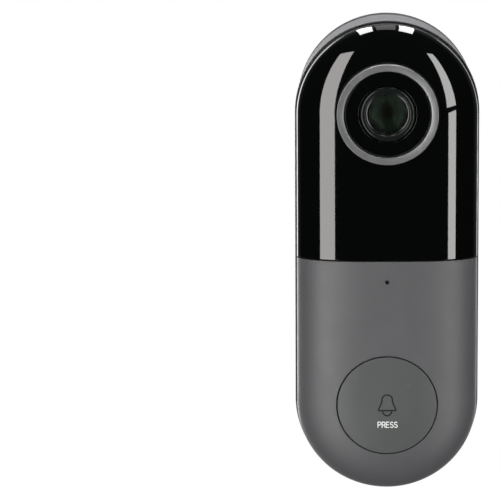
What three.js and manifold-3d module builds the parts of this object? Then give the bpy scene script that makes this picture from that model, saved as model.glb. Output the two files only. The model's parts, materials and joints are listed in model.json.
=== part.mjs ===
// Battery video doorbell on its wall bracket, in millimetres with +Z up.
// The front faces -Y. The origin is the centre of the bracket's back face, where the wall is,
// and every depth below is measured forward from the wall, so a depth of 10 is y = -10.
// The outline is a stadium: two half circles joined by straight sides. Each shell is one
// section of radius and depth carried round that outline.

import * as THREE from 'three';
import { mergeVertices } from 'three/addons/utils/BufferGeometryUtils.js';
import Module from 'manifold-3d';

const wasm = await Module();
wasm.setup();

// ---------------------------------------------------------------- driving dimensions

const GAP = 0.3;

const BODY = {
  radius: 22.5,
  halfStraight: 35.85,
  back: 2.8,
  seam: 13.4,
  crown: 26.0,
  backEdgeRadius: 1.2,
  draft: 0.25,
  wall: 1.8,
  frontRadius: 22.05,
  frontWall: 1.35,
  arcSteps: 14,
};
// The front drops from its crown to the side wall as a superellipse: flat in the middle, round
// at the edge, with no step in its curvature. The stops are shares of the front's radius, which
// is a little less than the housing's, so that the housing's rim shows as a ledge all round.
const SWELL = {
  drop: 5.5,
  power: 2.96,
  root: 0.63,
  stops: [0, 0.36, 0.53, 0.66, 0.77, 0.86, 0.92, 0.96, 0.985, 1],
};
const CAMERA_Z = 36.8;
const BUTTON_Z = -BODY.halfStraight;
const SPLIT_Z = 0.45;

const BRACKET = {
  radius: 22.05,
  thickness: 2.5,
  edge: 0.5,
  screwZ: [38, -22],
  screwRadius: 2.0,
  headRadius: 3.8,
};
const HOOK = {
  x: 11,
  seats: [14, -30],
  halfWidth: 2.5,
  stem: 2,
  lip: 4.5,
  lipStart: 4.7,
  end: 5.9,
};
const LIFT = 4.5;
const TAB = { halfWidth: 4, low: -51.7, high: -49.2, end: 7.6, screwDepth: 5.4, holeRadius: 1.3 };
const POCKET_WALL = 1.0;
const LOCK_SCREW = { head: 1.9, shank: 1.0, socket: 0.8, recess: 2.2, recessDepth: 1.2 };
const BOTTOM = -BODY.halfStraight - BODY.radius;

const CASE_POSTS = [[-15.3, 41.5], [15.3, 41.5], [-11, -48], [11, -48]];
const POST_RADIUS = 2.3;
const BOSS_RADIUS = 2.2;
const BOSS_END = 19.4;
const SCREW_HOLE = 1.3;
const SCREW = { shank: 1.0, head: 1.7, headHeight: 1.3, start: 4.6, end: 18.9 };
const SMALL_SCREW = { shank: 0.8, head: 1.5, headHeight: 0.9, hole: 1.1 };

const FRAME = { radius: 20.2, back: 17.1, front: 18.4 };
const POST_END = FRAME.back - GAP;
const SEAL = { outer: 20.4, inner: 19.2, back: 12.9, front: 15.0 };
const BOARD = { radius: 19.0, back: 18.6, front: 19.8, top: 20, clear: 0.1 };
const BOARD_SCREWS = [[-16.4, 16], [16.4, 16]];

const TRIM = { outer: 12.35, inner: 10.65, bore: 10.2, flange: 13.8, front: 26.7, shoulder: 24.4 };
const LENS = {
  cover: 10.35,
  window: 7.0,
  retainer: 6.7,
  bore: 5.0,
  barrel: 6.3,
  glass: 4.7,
  pupil: 1.6,
};
const FILTER = { travel: 5.6, half: 2.2, thickness: 0.6, depth: 10.5 };
const CAMERA_SCREW_X = 12.2;
const LED = { count: 6, ring: 8.7, radius: 1.25, base: 21.1 };
const IR_BOARD = { outer: 12.6, inner: 7.2, back: 20.0, front: 21.0 };
const FLEX = {
  route: [[27.6, 8.6], [22.4, 8.6], [21.6, 9.4], [21.6, 15.4], [20.8, 16.1], [11.5, 16.1]],
  thickness: 0.25,
  halfWidth: 3.5,
};

const BUTTON = {
  radius: 12.2,
  flange: 13.2,
  flangeBack: 21.9,
  flangeFront: 22.9,
  skirt: 1.4,
  stem: 2.4,
  thickness: 2.0,
};
const MIC_Z = -4.85;
const MIC_HOLE = 0.45;

// The flap's front edge is bevelled inside, so that it clears its mouth as the flap swings down.
const FLAP = { halfWidth: 7.9, back: 9.4, front: 12.45, thickness: 1.0, frontGap: 0.45, bevel: 0.5 };
const RESET_X = 5.7;
const RESET_TRAVEL = 0.5;
const SPEAKER = {
  inner: 15.6,
  outer: 19.4,
  low: -33,
  high: -17,
  back: 5.5,
  front: 12.4,
  coneRadius: 2.9,
};
const SPEAKER_SLOTS = { depths: [6.6, 8.1, 9.6, 11.1], halfWidth: 0.45, halfLength: 4.5 };
const BATTERY = {
  left: -18.7,
  right: 15.2,
  low: -25.8,
  high: 19.5,
  back: 8.0,
  front: 15.4,
  rounding: 1.6,
};
const LEAD = {
  radius: 0.5,
  route: [
    [9, 11.5, -26.3], [9, 11.6, -28], [8.6, 12.2, -31],
    [7.4, 12.6, -34], [6.6, 12.3, -36.6], [6.4, 11.4, -39],
  ],
};
const CHARGER = { back: 9.2, front: 10.0 };

// ---------------------------------------------------------------- finishes

const FINISH = {
  grey: { color: 0x6b6a70, roughness: 0.6, metalness: 0 },
  gloss: { color: 0x050606, roughness: 0.05, metalness: 0 },
  black: { color: 0x18191a, roughness: 0.5, metalness: 0 },
  trim: { color: 0x8f9092, roughness: 0.35, metalness: 0.8 },
  glass: { color: 0x141a17, roughness: 0.02, metalness: 0 },
  rubber: { color: 0x2a2b2c, roughness: 0.8, metalness: 0 },
  steel: { color: 0xa9abad, roughness: 0.35, metalness: 1 },
  board: { color: 0x1f5a38, roughness: 0.5, metalness: 0 },
  chip: { color: 0x1b1b1d, roughness: 0.5, metalness: 0 },
  copper: { color: 0xb87340, roughness: 0.4, metalness: 1 },
  amber: { color: 0xb5782a, roughness: 0.4, metalness: 0 },
  cell: { color: 0x9aa3ad, roughness: 0.4, metalness: 0.3 },
  white: { color: 0xe8e8e4, roughness: 0.5, metalness: 0 },
  filter: { color: 0x9fd6d0, roughness: 0.05, metalness: 0 },
};

// ---------------------------------------------------------------- solids

// Turns a closed three.js geometry into a solid, with shared corners merged and faces out.
function toSolid(geometry) {
  const bare = geometry.clone();
  bare.deleteAttribute('normal');
  bare.deleteAttribute('uv');
  const merged = mergeVertices(bare, 1e-4);
  const index = merged.index.array;
  const kept = [];
  for (let i = 0; i < index.length; i += 3) {
    const [a, b, c] = [index[i], index[i + 1], index[i + 2]];
    if (a !== b && b !== c && c !== a) kept.push(a, b, c);
  }
  const position = merged.attributes.position;
  if (signedVolume(position, kept) < 0) kept.reverse();
  return new wasm.Manifold(new wasm.Mesh({
    numProp: 3,
    vertProperties: new Float32Array(position.array),
    triVerts: new Uint32Array(kept),
  }));
}

function signedVolume(position, index) {
  const [a, b, c] = [new THREE.Vector3(), new THREE.Vector3(), new THREE.Vector3()];
  let sum = 0;
  for (let i = 0; i < index.length; i += 3) {
    a.fromBufferAttribute(position, index[i]);
    b.fromBufferAttribute(position, index[i + 1]);
    c.fromBufferAttribute(position, index[i + 2]);
    sum += a.dot(b.cross(c)) / 6;
  }
  return sum;
}

function join(...solids) {
  return solids.reduce((sum, next) => sum.add(next));
}

function cut(solid, ...tools) {
  return tools.reduce((rest, tool) => rest.subtract(tool), solid);
}

// A box from its ranges along X, depth and Z.
function box([x0, x1], [near, far], [z0, z1]) {
  const geometry = new THREE.BoxGeometry(x1 - x0, far - near, z1 - z0);
  geometry.translate((x0 + x1) / 2, -(near + far) / 2, (z0 + z1) / 2);
  return toSolid(geometry);
}

// A solid of revolution about a line along the depth axis, from [radius, depth] corners.
// A profile that doesn't touch the axis is closed on itself.
function turned(profile, x = 0, z = 0, segments = 24) {
  const onAxis = profile[0][0] === 0;
  const corners = onAxis ? profile : [...profile, profile[0]];
  const points = corners.map(([radius, depth]) => new THREE.Vector2(radius, -depth));
  const geometry = new THREE.LatheGeometry(points, segments);
  geometry.translate(x, 0, z);
  return toSolid(geometry);
}

function disc(radius, near, far, x = 0, z = 0, segments = 24) {
  return turned([[0, near], [radius, near], [radius, far], [0, far]], x, z, segments);
}

function tube(outer, inner, near, far, x = 0, z = 0, segments = 24) {
  return turned([[outer, near], [outer, far], [inner, far], [inner, near]], x, z, segments);
}

// A round rod along Z, centred on x and depth.
function rodZ(radius, z0, z1, x, depth, segments = 16) {
  const geometry = new THREE.CylinderGeometry(radius, radius, z1 - z0, segments);
  geometry.rotateX(Math.PI / 2);
  geometry.translate(x, -depth, (z0 + z1) / 2);
  return toSolid(geometry);
}

// A round rod along X, centred on depth and z.
function rodX(radius, x0, x1, depth, z, segments = 16) {
  const geometry = new THREE.CylinderGeometry(radius, radius, x1 - x0, segments);
  geometry.rotateZ(Math.PI / 2);
  geometry.translate((x0 + x1) / 2, -depth, z);
  return toSolid(geometry);
}

// Carries a section of [radius, depth] corners round the stadium outline. A section that starts
// and ends at radius 0 makes a full shell; any other one is closed on itself and makes a ring.
function stadium(section) {
  const full = section[0][0] === 0;
  const corners = full ? section : [...section, section[0]];
  const stations = [];
  for (const half of [0, 1]) {
    for (let i = 0; i <= BODY.arcSteps; i += 1) {
      const angle = Math.PI * (half + i / BODY.arcSteps);
      stations.push([angle, half === 0 ? BODY.halfStraight : -BODY.halfStraight]);
    }
  }
  const positions = [];
  for (const [angle, centre] of stations) {
    for (const [radius, depth] of corners) {
      positions.push(radius * Math.cos(angle), -depth, centre + radius * Math.sin(angle));
    }
  }
  const index = [];
  const count = corners.length;
  for (let s = 0; s < stations.length; s += 1) {
    const here = s * count;
    const next = ((s + 1) % stations.length) * count;
    for (let i = 0; i + 1 < count; i += 1) {
      index.push(here + i, here + i + 1, next + i + 1, here + i, next + i + 1, next + i);
    }
  }
  const geometry = new THREE.BufferGeometry();
  geometry.setAttribute('position', new THREE.Float32BufferAttribute(positions, 3));
  geometry.setIndex(index);
  return toSolid(geometry);
}

// Points of an arc in the radius and depth plane, from one angle to another.
function arc(centreRadius, centreDepth, radius, from, to, steps) {
  return Array.from({ length: steps + 1 }, (_, i) => {
    const angle = from + ((to - from) * i) / steps;
    return [centreRadius + radius * Math.cos(angle), centreDepth + radius * Math.sin(angle)];
  });
}

// Where the front's surface is at a share of the radius, moved inward along its normal.
function swellPoint(share, inset) {
  const { drop, power, root } = SWELL;
  const rest = 1 - share ** power;
  const steepness = (drop * root * power * share ** (power - 1) * rest ** (root - 1)) / BODY.frontRadius;
  const tilt = Math.atan(steepness);
  const depth = BODY.crown - drop * (1 - rest ** root);
  return [share * BODY.frontRadius - inset * Math.sin(tilt), depth - inset * Math.cos(tilt)];
}

// The crowned front from the middle out to the side wall, and down that wall to a depth.
function crownedFront(inset, sideEnd) {
  const side = BODY.frontRadius - inset;
  return [...SWELL.stops.map((share) => swellPoint(share, inset)), [side, sideEnd]];
}

function frontShell(thickness) {
  const start = BODY.seam + GAP;
  return stadium([...crownedFront(0, start), ...crownedFront(thickness, start).reverse()]);
}

function frontSolid() {
  const start = BODY.seam + GAP;
  return stadium([...crownedFront(0, start), [0, start]]);
}

// ---------------------------------------------------------------- bracket and case

function hookAt(x, z) {
  const across = [x - HOOK.halfWidth, x + HOOK.halfWidth];
  return join(
    box(across, [BRACKET.thickness - 0.5, HOOK.end], [z, z + HOOK.stem]),
    box(across, [HOOK.lipStart, HOOK.end], [z, z + HOOK.lip]),
  );
}

function wallBracket() {
  const { radius, thickness, edge } = BRACKET;
  let plate = stadium([
    [0, 0], [radius, 0], [radius, thickness - edge], [radius - edge, thickness], [0, thickness],
  ]);
  const sink = BRACKET.headRadius - BRACKET.screwRadius;
  for (const z of BRACKET.screwZ) {
    plate = cut(plate, turned([
      [0, -1], [BRACKET.screwRadius, -1], [BRACKET.screwRadius, thickness - sink],
      [BRACKET.headRadius, thickness], [BRACKET.headRadius, thickness + 1], [0, thickness + 1],
    ], 0, z));
  }
  for (const z of HOOK.seats) {
    for (const side of [-1, 1]) plate = join(plate, hookAt(side * HOOK.x, z));
  }
  const tab = box([-TAB.halfWidth, TAB.halfWidth], [thickness - 0.5, TAB.end], [TAB.low, TAB.high]);
  return cut(join(plate, tab), rodZ(TAB.holeRadius, TAB.low - 1, TAB.high + 1, 0, TAB.screwDepth));
}

// A blind pocket in the back of the housing that a bracket hook or tab moves in as the unit lifts.
function pocketWalls([x0, x1], end, [z0, z1]) {
  const w = POCKET_WALL;
  return box([x0 - w, x1 + w], [BODY.back + 1, end + w], [z0 - w, z1 + w]);
}

function hookPocket(x, z) {
  const across = [x - HOOK.halfWidth - GAP, x + HOOK.halfWidth + GAP];
  const low = z - LIFT - GAP;
  const reach = [low, z + HOOK.lip + GAP];
  const inner = BODY.back + BODY.wall - 0.2;
  return {
    walls: pocketWalls(across, HOOK.end + GAP, reach),
    space: join(
      box(across, [BODY.back - 1, inner + 0.1], [low, z + HOOK.stem + GAP]),
      box(across, [inner, HOOK.end + GAP], reach),
    ),
  };
}

function tabPocket() {
  const across = [-TAB.halfWidth - GAP, TAB.halfWidth + GAP];
  const reach = [TAB.low - LIFT - GAP, TAB.high + GAP];
  return {
    walls: pocketWalls(across, TAB.end + GAP, reach),
    space: box(across, [BODY.back - 1, TAB.end + GAP], reach),
  };
}

function rearShell() {
  const { radius, back, seam, wall, draft, backEdgeRadius: edge } = BODY;
  const narrow = radius - draft;
  const outerEdge = arc(narrow - edge, back + edge, edge, -Math.PI / 2, 0, 4);
  const floor = back + wall - 0.2;
  return stadium([
    [0, back], ...outerEdge, [radius, seam],
    [radius - wall, seam], [narrow - wall, floor + 0.8], [narrow - wall - 0.8, floor], [0, floor],
  ]);
}

function speakerSlots() {
  const { depths, halfWidth, halfLength } = SPEAKER_SLOTS;
  const through = [BODY.radius - 2.5, BODY.radius + 1.5];
  const middle = (SPEAKER.low + SPEAKER.high) / 2;
  const [low, high] = [middle - halfLength, middle + halfLength];
  return depths.map((depth) => join(
    box(through, [depth - halfWidth, depth + halfWidth], [low, high]),
    rodX(halfWidth, ...through, depth, low, 10),
    rodX(halfWidth, ...through, depth, high, 10),
  ));
}

function rearHousing() {
  let shell = rearShell();
  const middle = BODY.radius - BODY.wall / 2;
  const within = stadium([[0, BODY.back], [middle, BODY.back], [middle, BODY.seam], [0, BODY.seam]]);
  const pockets = [tabPocket()];
  for (const z of HOOK.seats) {
    for (const side of [-1, 1]) pockets.push(hookPocket(side * HOOK.x, z));
  }
  for (const pocket of pockets) shell = join(shell, pocket.walls.intersect(within));
  for (const pocket of pockets) shell = cut(shell, pocket.space);
  for (const [x, z] of CASE_POSTS) {
    shell = join(shell, disc(POST_RADIUS, BODY.back + 1, POST_END, x, z, 14));
    shell = cut(shell, disc(SCREW_HOLE, 0, POST_END + 1, x, z, 12));
    shell = cut(shell, disc(SCREW.head + GAP, 0, SCREW.start + SCREW.headHeight + 0.1, x, z, 14));
  }
  const { recess, recessDepth } = LOCK_SCREW;
  shell = cut(shell, rodZ(SCREW_HOLE, BOTTOM - 1, BOTTOM + BODY.wall + 1, 0, TAB.screwDepth));
  shell = cut(shell, rodZ(recess, BOTTOM - 1, BOTTOM + recessDepth, 0, TAB.screwDepth));
  return cut(shell, flapMouth(), ...speakerSlots());
}

function flapMouth() {
  const half = FLAP.halfWidth + GAP;
  const depths = [FLAP.back - GAP, FLAP.front + FLAP.frontGap];
  return box([-half, half], depths, [BOTTOM - 1, BOTTOM + 4]);
}

function caseSeal() {
  const { outer, inner, back, front } = SEAL;
  return stadium([[outer, back], [outer, front], [inner, front], [inner, back]]);
}

function frontPanel() {
  const below = box([-30, 30], [0, 30], [-70, SPLIT_Z + GAP / 2]);
  return cut(frontShell(BODY.frontWall), below, disc(TRIM.outer + GAP, 20, 30, 0, CAMERA_Z, 36));
}

function frontCover() {
  const above = box([-30, 30], [0, 30], [SPLIT_Z - GAP / 2, 70]);
  const buttonHole = disc(BUTTON.radius + GAP, 20, 30, 0, BUTTON_Z, 36);
  return cut(frontShell(BODY.frontWall), above, buttonHole, disc(MIC_HOLE, 20, 30, 0, MIC_Z, 12));
}

function midFrame() {
  const { radius, back, front } = FRAME;
  let frame = stadium([[0, back], [radius, back], [radius, front], [0, front]]);
  for (const [x, z] of CASE_POSTS) {
    frame = join(frame, disc(BOSS_RADIUS, back, BOSS_END, x, z, 14));
    frame = cut(frame, disc(SCREW_HOLE, 10, 25, x, z, 14));
  }
  const smallHoles = [...BOARD_SCREWS, [-CAMERA_SCREW_X, CAMERA_Z], [CAMERA_SCREW_X, CAMERA_Z]];
  for (const [x, z] of smallHoles) frame = cut(frame, disc(SMALL_SCREW.hole, 10, 25, x, z, 12));
  const lensHole = disc(8.4, 10, 25, 0, CAMERA_Z);
  const boardWindow = box([-14.5, 14.5], [10, 25], [-24, 17]);
  const headerSlot = box([-8.4, -4.4], [10, 25], [-45, -39]);
  return cut(frame, lensHole, boardWindow, headerSlot);
}

// A screw along the depth axis with its head at the back and a cross recess in the head.
function screwAt(x, z, size, start, end) {
  const neck = start + size.headHeight;
  const screw = turned([
    [0, start], [size.head, start], [size.head, neck - 0.3], [size.shank, neck],
    [size.shank, end - 0.5], [size.shank * 0.5, end], [0, end],
  ], x, z, 10);
  const arm = size.head * 0.6;
  const recess = size.headHeight * 0.5;
  return cut(
    screw,
    box([x - arm, x + arm], [start - 1, start + recess], [z - 0.2, z + 0.2]),
    box([x - 0.2, x + 0.2], [start - 1, start + recess], [z - arm, z + arm]),
  );
}

// A small screw driven from the front, with its head on the main board.
function boardScrew(x, z) {
  const length = 3.4;
  const headFace = BOARD.front + 1.0;
  const screw = screwAt(x, 0, SMALL_SCREW, 0, length);
  return screw.rotate([180, 0, 0]).translate([0, -headFace, z]);
}

function securityScrew() {
  const { head, shank, socket } = LOCK_SCREW;
  return cut(
    join(
      rodZ(head, BOTTOM + 0.3, BOTTOM + 1.1, 0, TAB.screwDepth, 20),
      rodZ(shank, BOTTOM + 1.0, TAB.high - 0.4, 0, TAB.screwDepth),
    ),
    rodZ(socket, BOTTOM - 1, BOTTOM + 0.8, 0, TAB.screwDepth, 6),
  );
}

// ---------------------------------------------------------------- camera, about its own axis

function cameraTrim() {
  const { outer, inner, bore, flange, front, shoulder } = TRIM;
  return turned([
    [inner, shoulder], [inner, front - 0.4], [inner + 0.25, front - 0.1], [inner + 0.6, front],
    [outer - 0.75, front], [outer - 0.4, front - 0.15], [outer, front - 0.9],
    [outer, 22.6], [flange, 22.6], [flange, 21.6], [bore, 21.6], [bore, shoulder],
  ], 0, 0, 32);
}

function lensCover() {
  return tube(LENS.cover, LENS.window, TRIM.shoulder + 0.1, 25.7, 0, 0, 32);
}

function lensRetainer() {
  const { retainer, bore } = LENS;
  return turned([
    [retainer, 23.0], [retainer, 25.4], [retainer - 0.3, 25.8], [retainer - 0.8, 25.9],
    [bore + 0.35, 25.4], [bore, 24.9], [bore, 23.0],
  ], 0, 0, 24);
}

function lensBarrel() {
  return tube(LENS.barrel, LENS.bore, 13.6, 22.7);
}

// A lens element with a domed front and a flat back.
function domedGlass(radius, back, rim, apex) {
  const rise = apex - rim;
  const sphere = (radius ** 2 + rise ** 2) / (2 * rise);
  const edge = Math.asin(radius / sphere);
  const dome = arc(0, apex - sphere, sphere, Math.PI / 2, Math.PI / 2 - edge, 4);
  dome[0][0] = 0;
  return turned([...dome, [radius, back], [0, back]], 0, 0, 20);
}

function lensHolder() {
  const base = box([-10.9, 11.3], [8.4, 13.2], [-7, 7]);
  const ears = box([-14.2, 14.2], [14.9, 16.6], [-1.8, 1.8]);
  const neck = disc(8.0, 13.0, 19.6);
  const barrelSeat = disc(LENS.barrel + GAP, 13.3, 20);
  const lightPath = disc(5.2, 11, 14);
  const filterSlot = box([-9.4, 9.8], [10.0, 12.0], [-3.5, 3.5]);
  const sensorWell = box([-3.7, 3.7], [8, 10.5], [-3.7, 3.7]);
  const screwHoles = [-1, 1].map((side) => (
    disc(SMALL_SCREW.hole, 14, 18, side * CAMERA_SCREW_X, 0, 12)
  ));
  return cut(join(base, ears, neck), barrelSeat, lightPath, filterSlot, sensorWell, ...screwHoles);
}

// The filter slide has two windows: the infrared-cut glass is on the lens axis at rest.
function filterCarrier() {
  const opening = FILTER.half + GAP;
  const windows = [0, FILTER.travel].map((x) => (
    box([x - opening, x + opening], [9, 13], [-opening, opening])
  ));
  return cut(box([-3.2, FILTER.travel + 3.2], [10.4, 11.6], [-3.2, 3.2]), ...windows);
}

function filterGlass(x) {
  const { half, depth, thickness } = FILTER;
  return box([x - half, x + half], [depth, depth + thickness], [-half, half]);
}

function filterCoil() {
  return join(
    rodX(1.4, -4, 4, 10.6, 8.8),
    box([-4.6, -4], [9.0, 12.2], [7.2, 10.4]),
    box([4, 4.6], [9.0, 12.2], [7.2, 10.4]),
  );
}

function irLed(angle) {
  const { ring, radius, base } = LED;
  const dome = arc(0, base + 1.4, radius, 0, Math.PI / 2, 2);
  dome[2][0] = 0;
  const profile = [[0, base], [radius, base], ...dome];
  return turned(profile, ring * Math.cos(angle), ring * Math.sin(angle), 10);
}

// A flat flexible cable from the camera board, down and forward to the back of the main board.
function cameraFlex() {
  const { route, thickness, halfWidth } = FLEX;
  const outline = new THREE.Shape();
  const front = route.map(([z, depth]) => [z + thickness, depth + thickness]);
  [...route, ...front.reverse()].forEach(([z, depth], i) => {
    if (i === 0) outline.moveTo(-depth, z);
    else outline.lineTo(-depth, z);
  });
  const geometry = new THREE.ExtrudeGeometry(outline, { depth: 2 * halfWidth, bevelEnabled: false });
  geometry.translate(0, 0, -halfWidth);
  geometry.rotateX(Math.PI / 2);
  geometry.rotateZ(Math.PI / 2);
  return toSolid(geometry);
}

// ---------------------------------------------------------------- boards and battery

function mainBoard() {
  const { radius, back, front, top, clear } = BOARD;
  let board = stadium([[0, back], [radius, back], [radius, front], [0, front]]);
  board = cut(board, box([-30, 30], [10, 30], [top, 70]));
  for (const [x, z] of CASE_POSTS) {
    board = cut(board, disc(BOSS_RADIUS + GAP, 10, 30, x, z, 14));
  }
  for (const [x, z] of BOARD_SCREWS) {
    board = cut(board, disc(SMALL_SCREW.hole, 10, 30, x, z, 12));
  }
  const flexSocket = box([-4, 4], [16.9, back + 0.1], [10.9, 14]);
  const smallParts = [
    [[-9, -6], [-14, -11], 1.0], [[-13, -9.5], [-4, -1], 1.2], [[6, 10], [-12, -8], 0.9],
    [[11.5, 15], [-6, -1], 1.4], [[-4, -1], [-19, -16.5], 0.8], [[-15, -12.5], [-20, -15], 1.1],
  ];
  for (const [across, up, height] of smallParts) {
    board = join(board, box(across, [front - clear, front + height], up));
  }
  return join(board, flexSocket);
}

// A soldered part that stands on the front of the main board.
function onBoard(across, height, up) {
  return box(across, [BOARD.front + BOARD.clear, BOARD.front + BOARD.clear + height], up);
}

function processorShield() {
  const shell = onBoard([2.4, 14.4], 2.2, [3.5, 15.5]);
  return cut(shell, box([2.8, 14.0], [BOARD.front, BOARD.front + 2.0], [3.9, 15.1]));
}

function wifiModule() {
  const module = onBoard([-14, 0], 0.8, [4, 18]);
  return join(module, box([-13.4, -0.6], [20.6, 22.1], [4.6, 14.4]));
}

function microphoneBoot() {
  return tube(2.3, MIC_HOLE, 21.2, 23.9, 0, MIC_Z, 20);
}

function speaker() {
  const { inner, outer, low, high, back, front, coneRadius } = SPEAKER;
  const body = box([inner, outer], [back, front], [low, high]);
  const middle = [(back + front) / 2, (low + high) / 2];
  const cone = rodX(coneRadius, outer - 1.2, outer + 1, ...middle, 24);
  const dust = rodX(coneRadius / 2, outer - 1.3, outer - 0.5, ...middle, 16);
  return join(cut(body, cone), dust);
}

function speakerGasket() {
  const { outer, low, high, back, front } = SPEAKER;
  const ring = box([outer + 0.15, outer + 0.95], [back, front], [low, high]);
  return cut(ring, box([19, 21], [back + 1, front - 1], [low + 1, high - 1]));
}

// The pouch cell has a rounded long edge and a thinner sealed lip at its upper end.
function batteryPack() {
  const { left, right, low, high, back, front, rounding: r } = BATTERY;
  const outline = new THREE.Shape();
  const corners = [
    [left + r, back + r, Math.PI], [right - r, back + r, 1.5 * Math.PI],
    [right - r, front - r, 0], [left + r, front - r, 0.5 * Math.PI],
  ];
  for (const [x, depth, start] of corners) {
    outline.absarc(x, depth, r, start, start + Math.PI / 2, false);
  }
  outline.closePath();
  const geometry = new THREE.ExtrudeGeometry(outline, {
    depth: high - low - 3, bevelEnabled: false, curveSegments: 4,
  });
  geometry.scale(1, -1, 1);
  geometry.translate(0, 0, low);
  const lip = box([left + 1, right - 1], [back + 3, back + 5], [high - 3.5, high]);
  return join(toSolid(geometry), lip);
}

function chargingBoard() {
  const { back, front } = CHARGER;
  const foot = front - 0.1;
  return join(
    box([-8.2, 8.2], [back, front], [-52, -38]),
    box([-8, -4.8], [foot, BOARD.back - 0.2], [-44.4, -39.6]),
    box([1, 5], [foot, front + 1.3], [-45, -41]),
    box([-3, -1], [foot, front + 0.9], [-47, -42]),
  );
}

// The charging socket is a folded metal shell, open downward, with a tongue inside.
function usbSocket() {
  const shell = box([-5.6, 1.9], [10.1, 12.6], [-55.2, -50]);
  const mouth = box([-5.25, 1.55], [10.45, 12.25], [-56, -50.6]);
  const tongue = box([-3.9, 0.2], [11.1, 11.6], [-54.6, -50.5]);
  return join(cut(shell, mouth), tongue);
}

// A pair of wires inside the case, from the cell down to the charging board.
function batteryLead() {
  const points = LEAD.route.map(([x, depth, z]) => new THREE.Vector3(x, -depth, z));
  const curve = new THREE.CatmullRomCurve3(points);
  const section = new THREE.Shape();
  section.absellipse(0, 0, LEAD.radius, LEAD.radius, 0, 2 * Math.PI, false, 0);
  return toSolid(new THREE.ExtrudeGeometry(section, {
    steps: 10, curveSegments: 4, bevelEnabled: false, extrudePath: curve,
  }));
}

// ---------------------------------------------------------------- button, flap and reset key

function buttonCap() {
  const { radius, flange, flangeBack, flangeFront, thickness } = BUTTON;
  const inner = radius - BUTTON.skirt;
  const face = frontShell(thickness).intersect(disc(radius, 19, 30, 0, BUTTON_Z, 36));
  const skirt = tube(radius, inner, flangeBack, 24.3, 0, BUTTON_Z, 36);
  const rim = tube(flange, inner, flangeBack, flangeFront, 0, BUTTON_Z, 36);
  const stem = disc(BUTTON.stem, 22.6, 24.6, 0, BUTTON_Z, 20);
  return join(face, skirt.intersect(frontSolid()), rim, stem);
}

function buttonSeal() {
  return tube(13.2, 6.0, 20.5, 21.0, 0, BUTTON_Z, 24);
}

function buttonSwitch() {
  const half = 2.3;
  const body = onBoard([-half, half], 1.5, [BUTTON_Z - half, BUTTON_Z + half]);
  const well = disc(1.6, 20.3, 22, 0, BUTTON_Z, 16);
  return cut(body, well);
}

function switchPlunger() {
  return turned([[0, 20.9], [1.3, 20.9], [1.3, 22.1], [1.1, 22.3], [0, 22.3]], 0, BUTTON_Z, 16);
}

function usbFlap() {
  const { halfWidth, back, front, thickness, bevel } = FLAP;
  const outer = BODY.radius - 0.1;
  const inner = outer - thickness;
  const skin = stadium([
    [outer, back], [outer, front], [inner + bevel, front], [inner, front - bevel], [inner, back],
  ]);
  const width = box([-halfWidth, halfWidth], [back - 1, front + 1], [BOTTOM - 1, BOTTOM + 4]);
  return skin.intersect(width);
}

// ---------------------------------------------------------------- the doorbell

function toGeometry(solid) {
  const mesh = solid.getMesh();
  const geometry = new THREE.BufferGeometry();
  const points = new Float32Array(mesh.vertProperties);
  geometry.setAttribute('position', new THREE.BufferAttribute(points, 3));
  geometry.setIndex(new THREE.BufferAttribute(new Uint32Array(mesh.triVerts), 1));
  geometry.computeVertexNormals();
  return geometry;
}

function piece(name, solid, finish) {
  const mesh = new THREE.Mesh(toGeometry(solid), new THREE.MeshStandardMaterial(FINISH[finish]));
  mesh.name = name;
  return mesh;
}

function caseGroup() {
  const group = new THREE.Group();
  group.add(
    piece('wall_bracket', wallBracket(), 'black'),
    piece('rear_housing', rearHousing(), 'grey'),
    piece('case_seal', caseSeal(), 'rubber'),
    piece('mid_frame', midFrame(), 'black'),
    piece('front_panel', frontPanel(), 'gloss'),
    piece('front_cover', frontCover(), 'grey'),
    piece('security_screw', securityScrew(), 'steel'),
  );
  CASE_POSTS.forEach(([x, z], i) => {
    group.add(piece(`case_screw_${i + 1}`, screwAt(x, z, SCREW, SCREW.start, SCREW.end), 'steel'));
  });
  BOARD_SCREWS.forEach(([x, z], i) => {
    group.add(piece(`board_screw_${i + 1}`, boardScrew(x, z), 'steel'));
  });
  return group;
}

function cameraGroup() {
  const group = new THREE.Group();
  group.position.z = CAMERA_Z;
  group.add(
    piece('camera_trim', cameraTrim(), 'trim'),
    piece('lens_cover', lensCover(), 'gloss'),
    piece('lens_retainer', lensRetainer(), 'black'),
    piece('lens_front_glass', domedGlass(LENS.glass, 23.8, 24.9, 25.9), 'glass'),
    piece('lens_aperture', tube(LENS.glass, LENS.pupil, 19.0, 19.5), 'black'),
    piece('lens_rear_glass', domedGlass(LENS.glass, 14.2, 15.2, 16.2), 'glass'),
    piece('lens_barrel', lensBarrel(), 'black'),
    piece('lens_holder', lensHolder(), 'black'),
    piece('ir_cut_carrier', filterCarrier(), 'black'),
    piece('ir_cut_filter', filterGlass(0), 'filter'),
    piece('clear_filter', filterGlass(FILTER.travel), 'filter'),
    piece('ir_cut_coil', filterCoil(), 'copper'),
    piece('image_sensor', box([-3.3, 3.3], [8.2, 9.3], [-3.3, 3.3]), 'chip'),
    piece('camera_board', box([-12, 12], [7.0, 8.1], [-11, 11.5]), 'board'),
    piece('ir_board', tube(IR_BOARD.outer, IR_BOARD.inner, IR_BOARD.back, IR_BOARD.front), 'board'),
    piece('light_sensor', box([-1, 1], [21.1, 22.0], [-LED.ring - 0.9, -LED.ring + 0.9]), 'chip'),
  );
  for (let i = 0; i < LED.count; i += 1) {
    group.add(piece(`ir_led_${i + 1}`, irLed((i * 2 * Math.PI) / LED.count), 'glass'));
  }
  for (const [i, side] of [-1, 1].entries()) {
    const screw = screwAt(side * CAMERA_SCREW_X, 0, SMALL_SCREW, 13.9, 18.1);
    group.add(piece(`camera_screw_${i + 1}`, screw, 'steel'));
  }
  return group;
}

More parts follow.
